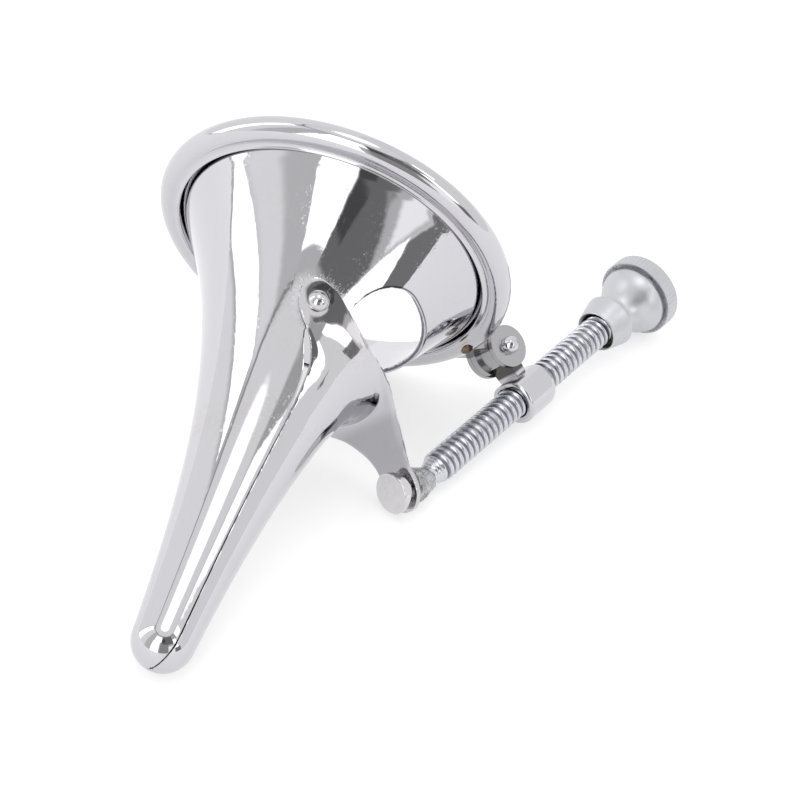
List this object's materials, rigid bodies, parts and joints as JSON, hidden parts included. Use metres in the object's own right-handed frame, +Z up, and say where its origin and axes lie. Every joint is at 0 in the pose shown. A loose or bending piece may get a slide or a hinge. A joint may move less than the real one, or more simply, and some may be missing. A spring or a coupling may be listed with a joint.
{
  "type": "vaginal speculum",
  "caption": "Old two-bladed trumpet speculum: polished funnel with a rolled rim, one hinged blade pulled open by a thumb nut on a screw.",
  "frame": {"origin": "middle of the outline on the table, as the object lies on tip, rim and nut", "axes": "+X roughly from mouth to tip, seen from above; +Z up from the table"},
  "size_m": [0.1477, 0.0992, 0.0688],
  "materials": {
    "chrome_funnel": "mirror polish",
    "chrome_blade": "mirror polish",
    "chrome_rivet": "polished dome",
    "bracket_plate": "worn polish",
    "brown_solder": "tarnished, rough",
    "pin_steel": "worn",
    "sleeve_plate": "worn polish",
    "screw_steel": "turned, dark in the grooves",
    "rough_braze": "rough grey",
    "button_plate": "polished",
    "satin_nickel": "satin turned"
  },
  "bodies": {
    "bell": {"fixed_valve": "chrome_funnel", "rim_bracket": "bracket_plate", "bracket_braze": "brown_solder", "bracket_rivet": "pin_steel"},
    "upper_valve": {"movable_valve": "chrome_blade", "hinge_rivet_near": "chrome_rivet", "hinge_rivet_far": "chrome_rivet"},
    "sleeve": {"swivel_sleeve": "sleeve_plate"},
    "screw": {"threaded_rod": "screw_steel", "rod_foot": "rough_braze", "tail_button": "button_plate"},
    "nut": {"thumb_nut": "satin_nickel"}
  },
  "joints": [
    {"name": "valve_hinge", "type": "hinge", "parent": "bell", "child": "upper_valve", "pos_m": [0.0049, -0.01892, 0.03012], "axis": [0.2467, 0.5863, 0.7716], "range_deg": [0, 14]},
    {"name": "sleeve_swivel", "type": "hinge", "parent": "bell", "child": "sleeve", "pos_m": [-0.0319, 0.02013, 0.01222], "axis": [0.2467, 0.5863, 0.7716], "range_deg": [-5.06, 0.3]},
    {"name": "rod_slide", "type": "slide", "parent": "sleeve", "child": "screw", "axis": [-0.942, 0.3321, 0.0489], "range_m": [-0.0002, 0.01071]},
    {"name": "nut_travel", "type": "slide", "parent": "screw", "child": "nut", "axis": [0.942, -0.3321, -0.0489], "range_m": [0, 0.0202]}
  ],
  "couplings": [
    {"joint": "sleeve_swivel", "follows": "valve_hinge", "ratio": -0.34},
    {"joint": "rod_slide", "follows": "valve_hinge", "m_per_rad": 0.0426}
  ]
}
